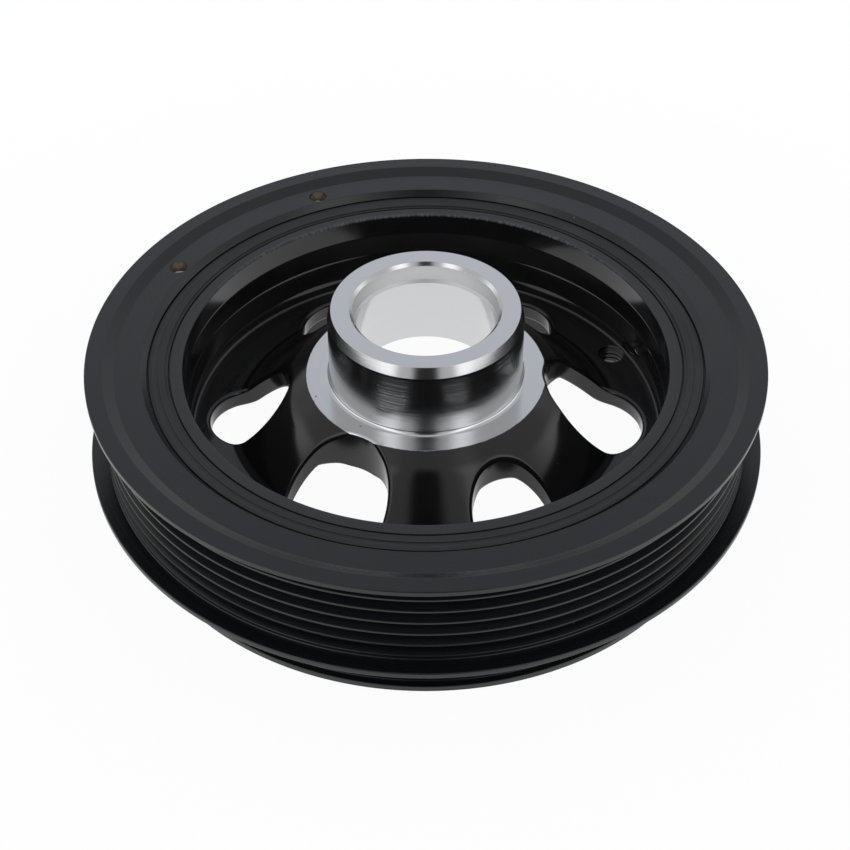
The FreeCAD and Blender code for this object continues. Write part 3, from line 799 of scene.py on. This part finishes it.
def studio_world(look):
    """A grey room with two tall soft panels on the camera's side and a dark gap between them.
    turn is the angle round from the camera's side, and rise the angle above the floor."""
    world = bpy.data.worlds.new("studio")
    bpy.context.scene.world = world
    world.use_nodes = True
    world.node_tree.nodes.clear()
    wires = Wiring(world.node_tree)
    way = wires.add("ShaderNodeTexCoord").outputs["Generated"]
    parts = wires.add("ShaderNodeSeparateXYZ", {0: way})
    ahead = wires.math("MULTIPLY", parts.outputs[1], -1.0)
    turn = wires.math("ABSOLUTE", wires.math("ARCTAN2", parts.outputs[0], ahead))
    rise = wires.math("ARCSINE", parts.outputs[2])
    turn = wires.math("MULTIPLY", turn, 180 / math.pi)
    rise = wires.math("MULTIPLY", rise, 180 / math.pi)
    panel = wires.band(turn, (26.0, 38.0), (46.0, 66.0))
    panel = wires.math("MULTIPLY", panel, wires.ramp(rise, 55.0, 70.0, 1.0, 0.0))
    gap = wires.math("MULTIPLY", wires.ramp(turn, 9.0, 17.0, 1.0, 0.0),
                     wires.ramp(rise, 58.0, 72.0, 1.0, 0.0))
    side = wires.band(turn, (50.0, 66.0), (105.0, 130.0))
    side = wires.math("MULTIPLY", side, wires.ramp(rise, 22.0, 34.0, 1.0, 0.0))
    back = wires.math("MULTIPLY", wires.ramp(turn, 120.0, 160.0), wires.ramp(rise, 15.0, 30.0))
    back_tone = wires.ramp(rise, 37.0, 47.0, look.back_light, look.back_light * 0.78)
    room = wires.mix(back, look.room_light, back_tone)
    room = wires.mix(side, room, look.side_light)
    room = wires.math("MULTIPLY_ADD", panel, look.panel_light - look.room_light, room)
    room = wires.math("MULTIPLY", room, wires.math("SUBTRACT", 1.0, wires.math("MULTIPLY", gap, 0.96)))
    red = wires.math("MULTIPLY", room, wires.mix(back, 1.0, 0.965))
    blue = wires.math("MULTIPLY", room, wires.mix(back, 1.01, 1.08))
    grey = wires.add("ShaderNodeCombineColor", {0: red, 1: room, 2: blue})
    around = wires.add("ShaderNodeBackground", {"Color": grey.outputs[0], "Strength": 1.0})
    white = wires.add("ShaderNodeBackground", {"Color": WHITE, "Strength": 1.0})
    path = wires.add("ShaderNodeLightPath")
    mixed = wires.add("ShaderNodeMixShader", {0: path.outputs["Is Camera Ray"], 1: around.outputs[0],
                                              2: white.outputs[0]})
    output = wires.add("ShaderNodeOutputWorld")
    world.node_tree.links.new(mixed.outputs[0], output.inputs["Surface"])


# Settings

class HubLook(bpy.types.PropertyGroup):
    """Finish of the hub"""
    steel_colour: FloatVectorProperty(
        name="Turned steel", description="Colour of the bare nose, flange and bore", subtype="COLOR", size=4,
        min=0.0, max=1.0, default=(0.672, 0.675, 0.685, 1.0))
    steel_roughness: FloatProperty(
        name="Steel roughness", description="How dull the turned steel is", min=0.0, max=1.0, default=0.15,
        subtype="FACTOR")
    coating_colour: FloatVectorProperty(
        name="Coating", description="Colour of the glossy coating", subtype="COLOR", size=4,
        min=0.0, max=1.0, default=(0.0075, 0.0075, 0.0082, 1.0))
    coating_roughness: FloatProperty(
        name="Coating roughness", description="How dull the coating is", min=0.0, max=1.0, default=0.12,
        subtype="FACTOR")
    rim_colour: FloatVectorProperty(
        name="Rim edge", description="Colour of the turned front edge of the rim", subtype="COLOR", size=4,
        min=0.0, max=1.0, default=(0.018, 0.018, 0.019, 1.0))
    thread_pitch: FloatProperty(
        name="Thread pitch", description="Pitch of the thread in the puller holes", unit="LENGTH",
        min=0.0005, max=0.002, default=0.00125)
    segments: IntProperty(name="Steps", description="Steps round each turned surface", min=96, max=360,
                          default=240)


class RubberLook(bpy.types.PropertyGroup):
    """Finish of the rubber ring"""
    rubber_colour: FloatVectorProperty(
        name="Rubber", description="Colour of the rubber ring", subtype="COLOR", size=4,
        min=0.0, max=1.0, default=(0.012, 0.012, 0.012, 1.0))


class RingLook(bpy.types.PropertyGroup):
    """Finish of the belt ring"""
    ring_colour: FloatVectorProperty(
        name="Coating", description="Colour of the belt ring's satin coating", subtype="COLOR", size=4,
        min=0.0, max=1.0, default=(0.006, 0.0066, 0.008, 1.0))
    ring_roughness: FloatProperty(
        name="Roughness", description="How dull the belt ring is", min=0.0, max=1.0, default=0.27,
        subtype="FACTOR")
    drilled_colour: FloatVectorProperty(
        name="Drilled metal", description="Colour of the bare metal in the balance drillings",
        subtype="COLOR", size=4, min=0.0, max=1.0, default=(0.4, 0.36, 0.32, 1.0))


class StudioLook(bpy.types.PropertyGroup):
    """Light and camera"""
    room_light: FloatProperty(
        name="Room", description="Brightness of the grey room", min=0.0, max=2.0, default=0.6)
    back_light: FloatProperty(
        name="Back wall", description="Brightness behind the pulley", min=0.0, max=2.0, default=0.68)
    panel_light: FloatProperty(
        name="Panels", description="Brightness of the two soft panels", min=0.0, max=4.0, default=1.5)
    side_light: FloatProperty(
        name="Sides", description="Brightness low down at both sides", min=0.0, max=4.0, default=1.3)
    camera_lens: FloatProperty(
        name="Lens", description="Focal length of the camera", unit="CAMERA", default=79.44)


# Pieces

class PULLEY_OT_hub(bpy.types.Operator):
    """Build the hub: nose, flange, dish with its windows and tapped holes, and rim"""
    bl_idname = "pulley.hub"
    bl_label = "Hub"

    def execute(self, context):
        look = context.scene.pulley_hub
        segments = look.segments
        front = trace(HUB_FRONT, turn_step=7.5)
        rear = trace(HUB_REAR, turn_step=7.5)[::-1]
        front_sheet = [row for row in front if row[3] > 0.4]
        rear_sheet = [row for row in rear if row[3] < -0.4]
        front_wall = front[len(front_sheet) - 1:]
        rear_wall = rear[len(rear_sheet) - 1:][::-1]
        ridges = [(radius, height, -math.cos(math.radians(slope)), math.sin(math.radians(slope)))
                  for radius, height, slope in RIM_RIDGES]
        rim = front_wall + ridges + trace(HUB_RIM) + rear_wall
        skin = Skin()
        openings = WIDE_WINDOWS + NARROW_WINDOWS + TAPPED_HOLES
        sheet(skin, front_sheet, openings, segments)
        sheet(skin, rear_sheet, openings, segments, up=-1.0)
        for opening in openings:
            wall(skin, opening, front_sheet, rear_sheet)
        skin.turn(rim, segments)
        skin.turn(trace(HUB_NOSE), segments)
        for opening in TAPPED_HOLES:
            thread(skin, opening_centre(opening), opening[2], THREAD_CREST, THREAD_LOW, THREAD_TOP,
                   look.thread_pitch / MM)
        hub = skin.build("hub_casting", hub_material(look))
        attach(hub, "root")
        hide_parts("hub")
        return {"FINISHED"}


class PULLEY_OT_rubber(bpy.types.Operator):
    """Build the bonded rubber ring with its raised bead"""
    bl_idname = "pulley.rubber"
    bl_label = "Rubber ring"

    def execute(self, context):
        skin = Skin()
        skin.turn(trace(RUBBER, closed=True), context.scene.pulley_hub.segments)
        rubber = skin.build("rubber_ring", rubber_material(context.scene.pulley_rubber))
        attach(rubber, "root")
        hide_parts("damper_rubber")
        return {"FINISHED"}


class PULLEY_OT_ring(bpy.types.Operator):
    """Build the belt ring: grooves, flanges, front bands and balance drillings"""
    bl_idname = "pulley.ring"
    bl_label = "Belt ring"

    def execute(self, context):
        look = context.scene.pulley_ring
        segments = context.scene.pulley_hub.segments
        skin = Skin()
        skin.turn(trace(ring_outline()), segments)
        band = [(radius, BAND_HEIGHT, 0.0, 1.0) for radius in (BAND_START, 71.0, 73.4, BAND_END)]
        sheet(skin, band, BALANCE_HOLES, segments)
        for opening in BALANCE_HOLES:
            radius, rounding = opening[2:]
            tip = DRILL_FLOOR - radius / math.tan(DRILL_HALF_ANGLE)
            drill = [(radius, BAND_HEIGHT - rounding, 0.0), (radius, DRILL_FLOOR, 0.1), (0.01, tip, 0.0)]
            skin.turn(trace(drill), opening_steps(opening), opening_centre(opening))
        ring = skin.build("belt_ring", ring_material(look))
        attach(ring, "root")
        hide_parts("pulley_ring")
        return {"FINISHED"}


class PULLEY_OT_studio(bpy.types.Operator):
    """Set the floor, the light and the camera"""
    bl_idname = "pulley.studio"
    bl_label = "Studio"

    def execute(self, context):
        scene = context.scene
        look = scene.pulley_studio
        mesh = bpy.data.meshes.new("floor")
        turns = [2 * math.pi * number / FLOOR_SIDES for number in range(FLOOR_SIDES)]
        edge = [(FLOOR_RADIUS * math.cos(turn), FLOOR_RADIUS * math.sin(turn), 0.0) for turn in turns]
        mesh.from_pydata(edge, [], [range(FLOOR_SIDES)])
        mesh.materials.append(floor_material())
        floor = bpy.data.objects.new("floor", mesh)
        floor.location.z = FLOOR_HEIGHT
        scene.collection.objects.link(floor)
        studio_world(look)

        camera = bpy.data.objects.new("camera", bpy.data.cameras.new("camera"))
        camera.data.lens = look.camera_lens
        camera.data.sensor_width = 36.0
        camera.data.dof.use_dof = False
        camera.data.clip_start = 0.01
        camera.location = CAMERA_PLACE
        down, yaw, roll = (math.radians(value) for value in (CAMERA_DOWN, CAMERA_YAW, CAMERA_ROLL))
        level = Euler((math.pi / 2 - down, 0.0, yaw)).to_matrix()
        camera.rotation_euler = (level @ Matrix.Rotation(roll, 3, "Z")).to_euler()
        scene.collection.objects.link(camera)
        scene.camera = camera
        scene.view_settings.view_transform = "Standard"
        return {"FINISHED"}


class PULLEY_PT_panel(bpy.types.Panel):
    """Lists the pulley's pieces and their settings"""
    bl_idname = "PULLEY_PT_panel"
    bl_label = "Pulley"
    bl_space_type = "VIEW_3D"
    bl_region_type = "UI"
    bl_category = "Pulley"

    def draw(self, context):
        scene = context.scene
        for name, look in (("hub", scene.pulley_hub), ("rubber", scene.pulley_rubber),
                           ("ring", scene.pulley_ring), ("studio", scene.pulley_studio)):
            box = self.layout.box()
            box.operator(f"pulley.{name}")
            for title in look.__annotations__:
                box.prop(look, title)


LOOKS = {
    "pulley_hub": HubLook,
    "pulley_rubber": RubberLook,
    "pulley_ring": RingLook,
    "pulley_studio": StudioLook,
}
CLASSES = (PULLEY_OT_hub, PULLEY_OT_rubber, PULLEY_OT_ring, PULLEY_OT_studio, PULLEY_PT_panel)


def register():
    for name, look in LOOKS.items():
        bpy.utils.register_class(look)
        setattr(bpy.types.Scene, name, PointerProperty(type=look))
    for item in CLASSES:
        bpy.utils.register_class(item)


def unregister():
    for item in reversed(CLASSES):
        bpy.utils.unregister_class(item)
    for name, look in LOOKS.items():
        delattr(bpy.types.Scene, name)
        bpy.utils.unregister_class(look)


def main():
    register()
    bpy.ops.pulley.studio()
    bpy.ops.pulley.hub()
    bpy.ops.pulley.rubber()
    bpy.ops.pulley.ring()


if __name__ == "__main__":
    main()
